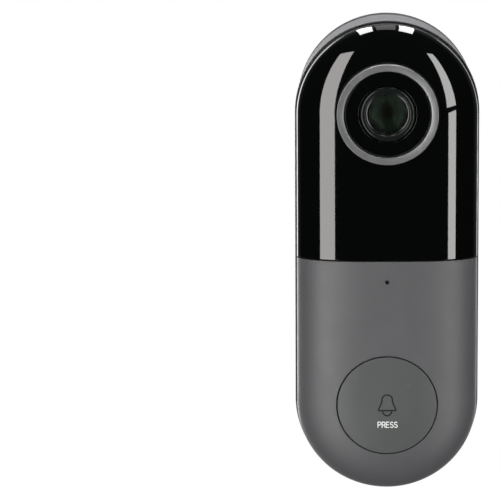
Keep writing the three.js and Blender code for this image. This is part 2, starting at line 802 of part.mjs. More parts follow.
function electronicsGroup() {
  const { high } = BATTERY;
  const group = new THREE.Group();
  group.add(
    piece('camera_flex', cameraFlex(), 'amber'),
    piece('main_board', mainBoard(), 'board'),
    piece('processor_chip', onBoard([4, 13], 1.1, [5, 14]), 'chip'),
    piece('processor_shield', processorShield(), 'steel'),
    piece('wifi_module', wifiModule(), 'steel'),
    piece('antenna', box([-20.1, -19.8], [6, 12.4], [-6, 24]), 'amber'),
    piece('microphone', onBoard([-1.9, 1.9], 1.1, [MIC_Z - 1.5, MIC_Z + 1.5]), 'steel'),
    piece('microphone_boot', microphoneBoot(), 'rubber'),
    piece('speaker', speaker(), 'black'),
    piece('speaker_gasket', speakerGasket(), 'rubber'),
    piece('battery_pack', batteryPack(), 'cell'),
    piece('battery_pad', box([-6.4, 6.4], [4.7, 7.8], [-16, high - 12]), 'rubber'),
    piece('battery_lead', batteryLead(), 'rubber'),
    piece('charging_board', chargingBoard(), 'board'),
    piece('usb_socket', usbSocket(), 'steel'),
  );
  return group;
}

function controlsGroup() {
  const resetDepth = 11.2;
  const group = new THREE.Group();
  group.add(
    piece('button_cap', buttonCap(), 'grey'),
    piece('button_seal', buttonSeal(), 'rubber'),
    piece('button_switch', buttonSwitch(), 'black'),
    piece('switch_plunger', switchPlunger(), 'white'),
    piece('button_led', onBoard([-0.8, 0.8], 0.7, [BUTTON_Z + 3.4, BUTTON_Z + 4.4]), 'white'),
    piece('usb_flap', usbFlap(), 'rubber'),
    piece('reset_switch', box([RESET_X - 1.7, RESET_X + 1.7], [10.1, 12.5], [-53.2, -50.4]), 'black'),
    piece('reset_key', rodZ(1.0, -55.9, -53.3 - RESET_TRAVEL, RESET_X, resetDepth), 'white'),
  );
  return group;
}

const doorbell = new THREE.Group();
doorbell.add(caseGroup(), cameraGroup(), electronicsGroup(), controlsGroup());

export default doorbell;
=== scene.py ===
"""A battery video doorbell on its wall bracket, with its studio.

Lengths inside the builders are in millimetres and depth is measured forward from the wall, so a
depth of 10 is y = -0.010. Meshes are written in metres in the part's own frame.
"""

import json
import math

import bmesh
import bpy
import numpy as np
from mathutils import Matrix, Vector

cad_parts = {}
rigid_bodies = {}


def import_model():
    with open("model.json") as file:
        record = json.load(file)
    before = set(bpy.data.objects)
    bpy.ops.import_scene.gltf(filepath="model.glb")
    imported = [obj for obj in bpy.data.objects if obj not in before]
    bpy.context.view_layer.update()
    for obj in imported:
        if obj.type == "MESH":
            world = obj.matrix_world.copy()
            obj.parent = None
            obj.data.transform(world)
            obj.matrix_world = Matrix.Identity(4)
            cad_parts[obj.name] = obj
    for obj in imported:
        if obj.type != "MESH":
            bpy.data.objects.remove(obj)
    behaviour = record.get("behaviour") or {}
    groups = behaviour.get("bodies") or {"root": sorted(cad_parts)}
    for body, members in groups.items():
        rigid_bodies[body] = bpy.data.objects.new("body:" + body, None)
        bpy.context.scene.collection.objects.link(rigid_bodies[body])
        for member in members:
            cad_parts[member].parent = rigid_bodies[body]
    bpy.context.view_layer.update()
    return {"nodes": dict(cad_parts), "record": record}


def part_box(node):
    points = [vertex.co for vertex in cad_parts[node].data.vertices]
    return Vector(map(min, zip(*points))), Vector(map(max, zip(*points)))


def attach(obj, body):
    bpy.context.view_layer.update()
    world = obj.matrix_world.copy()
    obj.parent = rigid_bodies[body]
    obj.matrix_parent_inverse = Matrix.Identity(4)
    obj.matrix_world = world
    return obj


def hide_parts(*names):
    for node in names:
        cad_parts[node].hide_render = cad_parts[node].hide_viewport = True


MM = 0.001
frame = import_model()


def box_mm(node):
    """The node's ranges along X, depth and Z, in millimetres."""
    low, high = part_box(node)
    return (low.x / MM, high.x / MM), (-high.y / MM, -low.y / MM), (low.z / MM, high.z / MM)


# ------------------------------------------------------------------ sizes, from the CAD boxes

HOUSING_X, HOUSING_D, HOUSING_Z = box_mm("rear_housing")
PANEL_X, PANEL_D, PANEL_Z = box_mm("front_panel")
_, COVER_D, COVER_Z = box_mm("front_cover")
BRACKET_X, BRACKET_D, _ = box_mm("wall_bracket")
TRIM_X, TRIM_D, _ = box_mm("camera_trim")
_, LENS_D, LENS_Z = box_mm("lens_cover")
BUTTON_X, BUTTON_D, _ = box_mm("button_cap")
FLAP_X, FLAP_D, _ = box_mm("usb_flap")
_, _, MIC_Z = box_mm("microphone_boot")
SEAL_X, SEAL_D, _ = box_mm("case_seal")
_, _, SPEAKER_Z = box_mm("speaker")

RADIUS = HOUSING_X[1]
STRAIGHT = HOUSING_Z[1] - RADIUS
BACK, SEAM = HOUSING_D
CROWN = COVER_D[1]
SHELL_BACK = PANEL_D[0]
CAMERA_Z = (LENS_Z[0] + LENS_Z[1]) / 2
BUTTON_CENTRE = -STRAIGHT
MIC_CENTRE = (MIC_Z[0] + MIC_Z[1]) / 2
BOTTOM = -STRAIGHT - RADIUS
SPLIT = (PANEL_Z[0] + COVER_Z[1]) / 2
SPLIT_GAP = 0.3

# The front drops from its crown to the side wall as a superellipse, a little inside the housing's
# rim, which shows as a ledge all round.
FRONT_RADIUS = PANEL_X[1]
SWELL_DROP = 5.5
SWELL_POWER = 2.96
SWELL_ROOT = 0.63
FRONT_WALL = 1.35

# The housing's rim is a lip with a shadow groove inside it. Its outside draws in more towards the
# back than its inside does.
LIP = 0.27
GROOVE = 0.4
WALL = 1.8
DRAFT = 0.25
BACK_TAPER = 0.42
BACK_EDGE = 1.2

TRIM_OUTER = 12.35
TRIM_INNER = 10.65
TRIM_HOLE = 12.57
TRIM_DISH = 0.16
BUTTON_RADIUS = 12.22
BUTTON_HOLE = 12.48
BUTTON_BEVEL = 0.16
BUTTON_WALL = 2.0
MIC_RADIUS = 0.52
MIC_DEPTH = 1.2
LENS_RADIUS = 4.7

# What holds the unit on its bracket: four hooks, a tab and the lock screw through it.
BRACKET_THICK = 2.5
HOOKS = [(x, z) for z in (14, -30) for x in (-11, 11)]
HOOK_HALF_WIDTH = 2.5
HOOK_TIP = (4.7, 5.9)
TAB_HALF_WIDTH = 4
TAB_END = BRACKET_D[1]
LOCK_SCREW_D = 5.4
CASE_SCREWS = ((-15.3, 41.5), (15.3, 41.5), (-11, -48), (11, -48))
WALL_SCREWS_Z = (38, -22)
SOUND_SLOTS_D = (6.6, 8.1, 9.6, 11.1)


# ------------------------------------------------------------------ meshes


def new_object(name, points, faces, normals=None, body="unit", slot="case_grey", replaces=(),
               look=None):
    """A closed mesh piece from points in metres, turned so that its faces look outward."""
    mesh = bpy.data.meshes.new(name)
    mesh.from_pydata([tuple(p) for p in points], [], [tuple(f) for f in faces])
    mesh.update()
    if signed_volume(mesh) < 0:
        mesh.flip_normals()
    mesh.polygons.foreach_set("use_smooth", [True] * len(mesh.polygons))
    if normals is not None:
        mesh.normals_split_custom_set_from_vertices([tuple(n) for n in normals])
    return finish_piece(bpy.data.objects.new(name, mesh), body, slot, replaces, look)


def finish_piece(piece, body, slot, replaces=(), look=None):
    """Puts a piece in the scene, on its body, with its slot's finish or a variant of it."""
    bpy.context.scene.collection.objects.link(piece)
    piece.data.materials.clear()
    piece.data.materials.append(material(look or slot))
    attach(piece, body)
    if replaces:
        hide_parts(*replaces)
    return piece


def signed_volume(mesh):
    mesh.calc_loop_triangles()
    points = np.zeros(len(mesh.vertices) * 3)
    mesh.vertices.foreach_get("co", points)
    points = points.reshape(-1, 3)
    corners = np.zeros(len(mesh.loop_triangles) * 3, int)
    mesh.loop_triangles.foreach_get("vertices", corners)
    a, b, c = (points[corners.reshape(-1, 3)[:, i]] for i in range(3))
    return float(np.einsum("ij,ij->i", a, np.cross(b, c)).sum())


def sharpen(piece, angle=35):
    """Flat faces stay flat and narrow rounded edges carry the shading."""
    piece.data.set_sharp_from_angle(angle=math.radians(angle))
    weighted = piece.modifiers.new("even_shading", "WEIGHTED_NORMAL")
    weighted.keep_sharp = True
    weighted.weight = 60
    return piece


def rounded(corners, steps=5):
    """A closed section of [radius, depth, fillet] corners with each fillet drawn as an arc."""
    made = []
    count = len(corners)
    for i, (r, d, fillet) in enumerate(corners):
        here = Vector((r, d))
        before = Vector(corners[i - 1][:2]) - here
        after = Vector(corners[(i + 1) % count][:2]) - here
        if fillet <= 0:
            made.append(tuple(here))
            continue
        half = before.angle(after) / 2
        reach = min(fillet / math.tan(half), before.length * 0.49, after.length * 0.49)
        fillet = reach * math.tan(half)
        centre = here + (before.normalized() + after.normalized()).normalized() * (fillet / math.sin(half))
        start = here + before.normalized() * reach - centre
        sweep = start.angle_signed(here + after.normalized() * reach - centre)
        for k in range(steps + 1):
            turn = Matrix.Rotation(-sweep * k / steps, 2)
            made.append(tuple(centre + turn @ start))
    return made


def lathe(name, section, z, segments, **piece):
    """A turned piece about the depth axis at height z, from its closed section."""
    points, faces = [], []
    count = len(section)
    circles = []
    for r, d in section:
        if r < 1e-6:
            circles.append([len(points)])
            points.append((0, -d, z))
            continue
        circles.append(list(range(len(points), len(points) + segments)))
        for s in range(segments):
            a = 2 * math.pi * s / segments
            points.append((r * math.cos(a), -d, z + r * math.sin(a)))
    for i in range(count):
        a, b = circles[i], circles[(i + 1) % count]
        if len(a) == 1 and len(b) == 1:
            continue
        for s in range(segments):
            t = (s + 1) % segments
            corners = [a[s % len(a)], a[t % len(a)], b[t % len(b)], b[s % len(b)]]
            faces.append(list(dict.fromkeys(corners)))
    return sharpen(new_object(name, np.array(points) * MM, faces, **piece))


def stations(arc_steps, straight_steps):
    """Directions and spine heights once round the stadium outline."""
    made = []
    for half in (0, 1):
        spine = STRAIGHT if half == 0 else -STRAIGHT
        for i in range(arc_steps + 1):
            a = math.pi * (half + i / arc_steps)
            made.append((math.cos(a), math.sin(a), spine))
        for i in range(1, straight_steps):
            t = i / straight_steps
            made.append((-1.0 if half == 0 else 1.0, 0.0, spine * (1 - 2 * t)))
    return made


def stadium_mesh(section, arc_steps=96, straight_steps=40):
    """A section of [radius, depth] carried round the outline. It closes on itself, or on the spine
    where it starts and ends at radius 0."""
    full = section[0][0] == 0
    around = stations(arc_steps, straight_steps)
    count = len(section)
    points = [
        (r * ux * MM, -d * MM, (spine + r * uz) * MM) for ux, uz, spine in around for r, d in section
    ]
    faces = []
    for s in range(len(around)):
        here, there = s * count, (s + 1) % len(around) * count
        for i in range(count - 1 if full else count):
            j = (i + 1) % count
            faces.append((here + i, here + j, there + j, there + i))
    mesh = bpy.data.meshes.new("stadium")
    mesh.from_pydata(points, [], faces)
    work = bmesh.new()
    work.from_mesh(mesh)
    bmesh.ops.remove_doubles(work, verts=work.verts, dist=1e-7)
    bmesh.ops.dissolve_degenerate(work, edges=work.edges, dist=1e-8)
    bmesh.ops.recalc_face_normals(work, faces=work.faces)
    work.to_mesh(mesh)
    work.free()
    mesh.polygons.foreach_set("use_smooth", [True] * len(mesh.polygons))
    return mesh


def box_mesh(across, depths, heights, rounding=0.0):
    """A box from its ranges, with its edges rounded where rounding is given."""
    work = bmesh.new()
    bmesh.ops.create_cube(work, size=1)
    size = [across[1] - across[0], depths[1] - depths[0], heights[1] - heights[0]]
    middle = [sum(across) / 2, -sum(depths) / 2, sum(heights) / 2]
    bmesh.ops.scale(work, vec=Vector(size) * MM, verts=work.verts)
    bmesh.ops.translate(work, vec=Vector(middle) * MM, verts=work.verts)
    if rounding:
        bmesh.ops.bevel(
            work, geom=work.edges[:], offset=rounding * MM, segments=4, profile=0.5, affect="EDGES"
        )
    return to_mesh(work)


def rod_mesh(axis, radius, start, end, centre, segments=64):
    """A round rod along "y" (depth) or "z", from start to end, about a centre on the other two."""
    work = bmesh.new()
    bmesh.ops.create_cone(
        work, cap_ends=True, segments=segments, radius1=radius * MM, radius2=radius * MM,
        depth=abs(end - start) * MM,
    )
    middle = (start + end) / 2
    if axis == "y":
        turn, place = Matrix.Rotation(math.pi / 2, 4, "X"), (centre[0], -middle, centre[1])
    else:
        turn, place = Matrix.Identity(4), (centre[0], -centre[1], middle)
    bmesh.ops.transform(work, matrix=Matrix.Translation(Vector(place) * MM) @ turn, verts=work.verts)
    return to_mesh(work)


def to_mesh(work):
    mesh = bpy.data.meshes.new("tool")
    work.to_mesh(mesh)
    work.free()
    return mesh


def combined(mesh, tools, operation):
    """The mesh with each tool joined to it or cut from it."""
    base = bpy.data.objects.new("base", mesh)
    group = bpy.data.collections.new("tools")
    bpy.context.scene.collection.objects.link(base)
    for tool in tools:
        group.objects.link(bpy.data.objects.new("tool", tool))
    step = base.modifiers.new("step", "BOOLEAN")
    step.operation, step.solver, step.operand_type = operation, "EXACT", "COLLECTION"
    step.collection = group
    graph = bpy.context.evaluated_depsgraph_get()
    made = bpy.data.meshes.new_from_object(base.evaluated_get(graph))
    for o in [base, *group.objects]:
        bpy.data.objects.remove(o)
    bpy.data.collections.remove(group)
    return made


def placed(name, mesh, angle=35, **piece):
    """A piece from a finished mesh."""
    mesh.polygons.foreach_set("use_smooth", [True] * len(mesh.polygons))
    made = finish_piece(bpy.data.objects.new(name, mesh), **piece)
    return sharpen(made, angle)


# ------------------------------------------------------------------ the crowned front surface


def front_section():
    """Columns of flat distance, radius, depth, outward normal and forward normal, from the spine to
    the shell's back edge. The flat distance is the radius near the spine and the arc length beyond."""
    share = 1 - (1 - np.linspace(0, 1, 1600)) ** 2.2
    rest = np.maximum(1 - share**SWELL_POWER, 1e-9)
    radius = share * FRONT_RADIUS
    depth = CROWN - SWELL_DROP * (1 - rest**SWELL_ROOT)
    steep = SWELL_DROP * SWELL_ROOT * SWELL_POWER * share ** (SWELL_POWER - 1)
    tilt = np.arctan(steep * rest ** (SWELL_ROOT - 1) / FRONT_RADIUS)
    wall = np.linspace(depth[-1], SHELL_BACK, 60)[1:]
    radius = np.concatenate([radius, np.full(len(wall), FRONT_RADIUS)])
    depth = np.concatenate([depth, wall])
    tilt = np.concatenate([tilt, np.full(len(wall), math.pi / 2)])
    length = np.concatenate([[0], np.cumsum(np.hypot(np.diff(radius), np.diff(depth)))])
    true_part = radius < 19
    shift = radius[true_part][-1] - length[true_part][-1]
    flat = np.where(true_part, radius, length + shift)
    return flat, radius, depth, np.sin(tilt), np.cos(tilt)


SECTION = front_section()
FLAT_EDGE = float(SECTION[0][-1])


def on_front(flat, inset=0.0):
    """Points in millimetres on the front, or inset below it, and the surface normals there."""
    x, z = flat[..., 0], flat[..., 1]
    spine = np.clip(z, -STRAIGHT, STRAIGHT)
    away = np.hypot(x, z - spine)
    safe = np.maximum(away, 1e-9)
    ux, uz = x / safe, (z - spine) / safe
    radius, depth, out, ahead = (np.interp(away, SECTION[0], column) for column in SECTION[1:])
    normal = np.stack([ux * out, -ahead, uz * out], -1)
    point = np.stack([ux * radius, -depth, spine + uz * radius], -1)
    return point - normal * np.asarray(inset)[..., None], normal


def outline(split, bevel):
    """The flat outline of the part above split, once round, with each point's outward direction."""
    edge = FLAT_EDGE - bevel
    low = split + bevel
    points, ways = [], []
    for z in np.linspace(low, STRAIGHT, 76):
        points.append((edge, z))
        ways.append((1, -1 if z == low else 0))
    for a in np.linspace(0, math.pi, 150)[1:-1]:
        points.append((edge * math.cos(a), STRAIGHT + edge * math.sin(a)))
        ways.append((math.cos(a), math.sin(a)))
    for z in np.linspace(STRAIGHT, low, 76):
        points.append((-edge, z))
        ways.append((-1, -1 if z == low else 0))
    for x in np.linspace(-edge, edge, 151)[1:-1]:
        points.append((x, low))
        ways.append((0, -1))
    return np.array(points, float), np.array(ways, float)


def eased(count, bias):
    """Shares from 0 to 1 that bunch up at both ends."""
    t = np.linspace(0, 1, count)
    return bias * (1 - np.cos(math.pi * t)) / 2 + (1 - bias) * t


class Shell:
    """A shell piece of the crowned front: a flat annulus from a round hole out to an outline."""

    BEVEL_STEPS = 5
    ROWS = 58
    INNER_ROWS = 8
    PIT_MARGIN = 2.6
    PIT_RIM = 0.08

    def __init__(self, hole, hole_radius, split, bevel):
        self.bevel = bevel
        self.outer, self.outer_way = outline(split, bevel)
        centre = np.array(hole)
        way = self.outer - centre
        way /= np.linalg.norm(way, axis=1)[:, None]
        self.inner = centre + way * (hole_radius + bevel)
        self.inner_way = -way
        self.points, self.normals, self.faces = [], [], []
        self.count = len(self.outer)

    def add_row(self, flat, inset, normal=None):
        points, natural = on_front(flat, inset)
        start = len(self.points)
        self.points.extend(points)
        self.normals.extend(natural if normal is None else normal)
        return list(range(start, start + len(flat)))

    def bevel_rows(self, base, ways):
        """The rounded rim at an edge of the face, then the wall down to the shell's inner side."""
        rows = []
        for k in range(1, self.BEVEL_STEPS + 1):
            a = math.pi / 2 * k / self.BEVEL_STEPS
            flat = base + ways * self.bevel * math.sin(a)
            _, up = on_front(flat)
            rows.append(self.add_row(
                flat, self.bevel * (1 - math.cos(a)), up * math.cos(a) + self.lifted(flat, ways) * math.sin(a)
            ))
        wall = base + ways * self.bevel
        rows.append(self.add_row(wall, FRONT_WALL, self.lifted(wall, ways)))
        return rows

    @staticmethod
    def lifted(flat, ways):
        """A flat direction carried onto the surface."""
        step = 1e-3
        ahead, _ = on_front(flat + ways * step)
        here, _ = on_front(flat - ways * step)
        way = ahead - here
        return way / np.linalg.norm(way, axis=1)[:, None]

    def face_rows(self):
        rows = []
        for share in eased(self.ROWS, 0.55):
            rows.append(self.add_row(self.inner + (self.outer - self.inner) * share, 0.0))
        return rows

    def build(self, pits=()):
        face = self.face_rows()
        outer = self.bevel_rows(self.outer, self.outer_way)
        inner = self.bevel_rows(self.inner, self.inner_way)
        under = []
        rim_out = self.outer + self.outer_way * self.bevel
        rim_in = self.inner + self.inner_way * self.bevel
        for share in eased(self.INNER_ROWS, 0.5)[1:-1]:
            flat = rim_out + (rim_in - rim_out) * share
            _, up = on_front(flat)
            under.append(self.add_row(flat, FRONT_WALL, -up))
        loop = face + outer + under + inner[::-1]
        skipped = self.pit_blocks(face, pits)
        for k in range(len(loop)):
            a, b = loop[k], loop[(k + 1) % len(loop)]
            for i in range(self.count):
                if (k, i) in skipped:
                    continue
                j = (i + 1) % self.count
                self.faces.append((a[i], a[j], b[j], b[i]))
        return self

    def pit_blocks(self, face, pits):
        """Opens a round blind hole in the face at each flat centre, radius and depth."""
        skipped = set()
        for centre, radius, deep in pits:
            grid = np.array([[self.points[v] for v in row] for row in face])[..., [0, 2]]
            near = np.abs(grid - np.array(centre)).max(axis=-1) < radius + self.PIT_MARGIN
            rows, columns = np.nonzero(near)
            top, bottom, left, right = rows.min(), rows.max(), columns.min(), columns.max()
            skipped |= {(k, i) for k in range(top, bottom) for i in range(left, right)}
            border = [(top, i) for i in range(left, right)]
            border += [(k, right) for k in range(top, bottom)]
            border += [(bottom, i) for i in range(right, left, -1)]
            border += [(k, left) for k in range(bottom, top, -1)]
            edge = [face[k][i] for k, i in border]
            flat = np.array([grid[k, i] for k, i in border])
            self.pit(edge, flat, np.array(centre), radius, deep)
        return skipped

    def pit(self, edge, flat, centre, radius, deep):
        """One round blind hole with a rounded rim, joined to the opened edge of the face."""
        way = flat - centre
        way /= np.linalg.norm(way, axis=1)[:, None]
        rim = self.PIT_RIM
        rows = [edge]
        for share in (0.3, 0.55, 0.75, 0.9, 1.0):
            rows.append(self.add_row(flat + (centre + way * (radius + rim) - flat) * share, 0.0))
        for k in range(1, 4):
            a = math.pi / 2 * k / 3
            spot = centre + way * (radius + rim - rim * math.sin(a))
            _, up = on_front(spot)
            rows.append(self.add_row(
                spot, rim * (1 - math.cos(a)), up * math.cos(a) - self.lifted(spot, way) * math.sin(a)
            ))
        rows.append(self.add_row(centre + way * radius, deep))
        for a, b in zip(rows, rows[1:]):
            for i in range(len(edge)):
                j = (i + 1) % len(edge)
                self.faces.append((a[i], a[j], b[j], b[i]))
        self.faces.append(tuple(rows[-1]))


def split_shell(name, above, hole_z, hole_radius, split, bevel, pits=(), **piece):
    """A front shell piece above the split, or below it as the mirror image."""
    side = 1 if above else -1
    shell = Shell((0.0, side * hole_z), hole_radius, side * split, bevel)
    shell.build([((x, side * z), radius, deep) for (x, z), radius, deep in pits])
    points = np.array(shell.points) * (1, 1, side) * MM
    normals = np.array(shell.normals) * (1, 1, side)
    return new_object(name, points, shell.faces, normals, **piece)


def button_circle(way, radius, inset=0.0, depth=None):
    """A circle on the button's face, or at a depth of its own, and the surface normals there."""
    points, up = on_front(np.array([0.0, BUTTON_CENTRE]) + way * radius, inset)
    if depth is not None:
        points[:, 1] = -depth
    return points, up


def button_face_circles(way):
    """The domed face from near its middle outward, then its rounded rim."""
    flat_part = BUTTON_RADIUS - BUTTON_BEVEL
    made = [button_circle(way, radius) for radius in eased(46, 0.3)[1:] * flat_part]
    outward = np.stack([way[:, 0], np.zeros(len(way)), way[:, 1]], -1)
    for k in range(1, 6):
        a = math.pi / 2 * k / 5
        radius = flat_part + BUTTON_BEVEL * math.sin(a)
        _, up = button_circle(way, radius)
        points, _ = button_circle(way, radius, BUTTON_BEVEL * (1 - math.cos(a)))
        made.append((points, up * math.cos(a) + outward * math.sin(a)))
    return made


def button_under_circles(way):
    """The skirt, the hidden flange and the underside. Normals of zero are left to Blender."""
    unset = np.zeros((len(way), 3))
    back, front = BUTTON_D[0], BUTTON_D[0] + 1.0
    flange = BUTTON_X[1]
    made = []
    for radius, depth in ((BUTTON_RADIUS, front), (flange, front), (flange, back), (10.8, back)):
        made.append((button_circle(way, radius, depth=depth)[0], unset))
    for radius in (10.6, 7.0, 3.0):
        made.append((button_circle(way, radius, BUTTON_WALL)[0], unset))
    return made


def button_cap():
    """The button's domed face continues the crown, with a rounded rim, a skirt and a hidden flange."""
    segments = 224
    angles = np.linspace(0, 2 * math.pi, segments, endpoint=False)
    way = np.stack([np.cos(angles), np.sin(angles)], -1)
    circles = button_face_circles(way) + button_under_circles(way)
    top, _ = on_front(np.array([0.0, BUTTON_CENTRE]))
    points = np.concatenate([*[row for row, _ in circles], [top, top + (0, BUTTON_WALL, 0)]])
    normals = np.concatenate([*[up for _, up in circles], [(0, -1, 0), (0, 1, 0)]])
    faces = []
    for k in range(len(circles) - 1):
        here, there = k * segments, (k + 1) * segments
        for i in range(segments):
            j = (i + 1) % segments
            faces.append((here + i, here + j, there + j, there + i))
    last = (len(circles) - 1) * segments
    for i in range(segments):
        j = (i + 1) % segments
        faces.append((len(points) - 2, j, i))
        faces.append((len(points) - 1, last + i, last + j))
    return new_object(
        "button_face", points * MM, faces, normals, "button", "case_grey", ["button_cap"], "button_grey"
    )


# ------------------------------------------------------------------ marks on the button


def arc_points(x, z, rx, rz, start, end, steps=16):
    return [
        (x + rx * math.cos(math.radians(start + (end - start) * k / steps)),
         z + rz * math.sin(math.radians(start + (end - start) * k / steps)))
        for k in range(steps + 1)
    ]


def round_end(spot, side):
    """The narrowing stations past an end of a stroke, the furthest first."""
    here, along, half = spot
    made = []
    for a in (0.1, 0.5, 0.9, 1.25):
        made.append((here + along * side * half * math.cos(a), along, half * max(math.sin(a), 0.12)))
    return made


def stroke_mesh(points, width):
    """A thin raised line along a flat path, with round ends, as points and faces."""
    path = [Vector(p) for p in points]
    spots = []
    for i, here in enumerate(path):
        before, after = path[max(i - 1, 0)], path[min(i + 1, len(path) - 1)]
        spots.append((here, (after - before).normalized(), width / 2))
    spots = round_end(spots[0], -1) + spots + round_end(spots[-1], 1)[::-1]
    top, sink = -0.035, 0.03
    rows = []
    for here, along, half in spots:
        across = Vector((-along.y, along.x))
        corners = [(half, sink), (half, top * 0.5), (half * 0.75, top), (-half * 0.75, top),
                   (-half, top * 0.5), (-half, sink)]
        flat = np.array([here + across * side for side, _ in corners])
        rows.append(on_front(flat, np.array([inset for _, inset in corners]))[0])
    points = np.concatenate(rows)
    faces, size = [], len(rows[0])
    for k in range(len(rows) - 1):
        a, b = k * size, (k + 1) * size
        faces += [(a + i, a + (i + 1) % size, b + (i + 1) % size, b + i) for i in range(size)]
    faces += [tuple(range(size))[::-1], tuple(range(len(points) - size, len(points)))]
    return points, faces


def marks(name, strokes, width, slot):
    """One piece made of raised strokes on the button."""
    points, faces = [], []
    for path in strokes:
        more, loops = stroke_mesh(path, width)
        faces += [tuple(v + len(points) for v in loop) for loop in loops]
        points.extend(more)
    return new_object(name, np.array(points) * MM, faces, None, "button", slot)


def between(a, b, c, d, t):
    """The value a share t of the way from b to c, on a smooth curve through a, b, c and d."""
    bend = (2 * a - 5 * b + 4 * c - d) * t**2 + (3 * b - a - 3 * c + d) * t**3
    return 0.5 * (2 * b + (c - a) * t + bend)


def smoothed(points, steps=4):
    """The points with a smooth curve drawn through them."""
    made = []
    for i in range(len(points) - 1):
        before, after = points[max(i - 1, 0)], points[min(i + 2, len(points) - 1)]
        for k in range(steps):
            corners = zip(before, points[i], points[i + 1], after)
            made.append(tuple(between(*numbers, k / steps) for numbers in corners))
    made.append(points[-1])
    return made


def bell_strokes():
    """A plain bell outline, 4.2 mm wide, about the middle of the button."""
    z = BUTTON_CENTRE
    right = [(0.0, 2.74), (0.6, 2.62), (1.04, 2.28), (1.24, 1.8), (1.3, 1.2), (1.46, 0.55),
             (1.78, -0.15), (2.04, -0.75), (2.12, -1.08)]
    left = [(-x, h) for x, h in right[::-1]]
    body = smoothed([(x, z + h) for x, h in left + right[1:]])
    base = [(x, z - 1.18) for x in np.linspace(-2.06, 2.06, 20)]
    clapper = arc_points(0, z - 1.23, 1.14, 1.25, 190, 350)
    return [body, base, clapper]


# Letters 1.5 mm tall, as straight strokes and the round ones that letter_strokes draws.
LETTERS = {
    "P": [[(0, 0), (0, 1.5)], [(0, 1.5), (0.5, 1.5)], "bowl"],
    "R": [[(0, 0), (0, 1.5)], [(0, 1.5), (0.5, 1.5)], "bowl", [(0.45, 0.72), (0.85, 0)]],
    "E": [[(0, 0), (0, 1.5)], [(0, 1.5), (0.75, 1.5)], [(0, 0.77), (0.66, 0.77)], [(0, 0), (0.75, 0)]],
    "S": ["curve"],
}


def letter_strokes(letter, x, z):
    made = []
    for stroke in LETTERS[letter]:
        if stroke == "bowl":
            path = [(0.45, 1.5)] + arc_points(0.45, 1.11, 0.38, 0.39, 80, -80, 10)
            path += [(0.45, 0.72), (0, 0.72)]
        elif stroke == "curve":
            path = arc_points(0.4, 1.12, 0.36, 0.38, 35, 250, 12)
            path += arc_points(0.4, 0.38, 0.38, 0.38, 80, -150, 12)
        else:
            (x0, z0), (x1, z1) = stroke
            path = [(x0 + (x1 - x0) * k / 6, z0 + (z1 - z0) * k / 6) for k in range(7)]
        made.append([(x + a, z + b) for a, b in path])
    return made


def word_strokes():
    """The plain word PRESS, 4.8 mm wide, under the bell."""
    size, pitch = 0.92, 1.1
    aside, below = 0.13, 0.2
    made = []
    for i, letter in enumerate("PRESS"):
        for path in letter_strokes(letter, -2.6 + i * pitch, -5.75):
            made.append([(x * size + aside, BUTTON_CENTRE + z * size - below) for x, z in path])
    return made


# ------------------------------------------------------------------ housing, seal and bracket


def housing_section():
    """From the spine along the back, up the outside, over the lip and down the inside."""
    narrow = RADIUS - DRAFT - BACK_TAPER
    inside = RADIUS - DRAFT - WALL
    floor = BACK + WALL - 0.2
    section = [(0, BACK)]
    for a in np.linspace(0, math.pi / 2, 9):
        section.append((
            narrow - BACK_EDGE + BACK_EDGE * math.sin(a), BACK + BACK_EDGE - BACK_EDGE * math.cos(a)
        ))
    for t in (0.25, 0.5, 0.75):
        depth = BACK + BACK_EDGE + (SEAM - 0.15 - BACK - BACK_EDGE) * t
        section.append((narrow + (DRAFT + BACK_TAPER) * t - 0.02 * t, depth))
    for a in np.linspace(math.pi / 2, 0, 5):
        section.append((RADIUS - 0.02 - 0.1 * (1 - math.sin(a)), SEAM - 0.1 * (1 - math.cos(a))))
    section += [(RADIUS - LIP, SEAM - 0.02), (RADIUS - LIP - 0.02, SEAM - GROOVE)]
    section += [(RADIUS - WALL, SEAM - GROOVE), (inside, floor + 0.8), (inside - 0.8, floor), (0, floor)]
    return section


def back_openings():
    """The slots for the bracket's hooks and tab, and the holes for the case screws."""
    start, end = BACK - 1, BACK + WALL + 0.8
    made = []
    for x, z in HOOKS:
        across = (x - HOOK_HALF_WIDTH - 0.3, x + HOOK_HALF_WIDTH + 0.3)
        made.append(box_mesh(across, (start, end), (z - 4.8, z + 2.3)))
    tab = TAB_HALF_WIDTH + 0.3
    made.append(box_mesh((-tab, tab), (start, TAB_END + 0.3), (-56.5, -48.9)))
    for spot in CASE_SCREWS:
        made.append(rod_mesh("y", 2.0, start, end, spot, 40))
    return made


def wall_openings():
    """The lock screw's stepped hole and the flap's opening below, and the sound slots at the side."""
    made = [
        rod_mesh("z", 1.3, BOTTOM - 1, BOTTOM + 3, (0, LOCK_SCREW_D), 48),
        rod_mesh("z", 2.2, BOTTOM - 1, BOTTOM + 1.2, (0, LOCK_SCREW_D), 64),
    ]
    half = FLAP_X[1] + 0.3
    depths = (FLAP_D[0] - 0.3, FLAP_D[1] + 0.45)
    made.append(box_mesh((-half, half), depths, (BOTTOM - 1, BOTTOM + 4), 0.35))
    for depth in SOUND_SLOTS_D:
        made.append(slot_mesh(depth, sum(SPEAKER_Z) / 2, 4.5, 0.45))
    return made


def rear_housing():
    mesh = combined(stadium_mesh(housing_section()), back_openings() + wall_openings(), "DIFFERENCE")
    return placed("housing_shell", mesh, 30, body="unit", slot="case_grey", replaces=["rear_housing"])


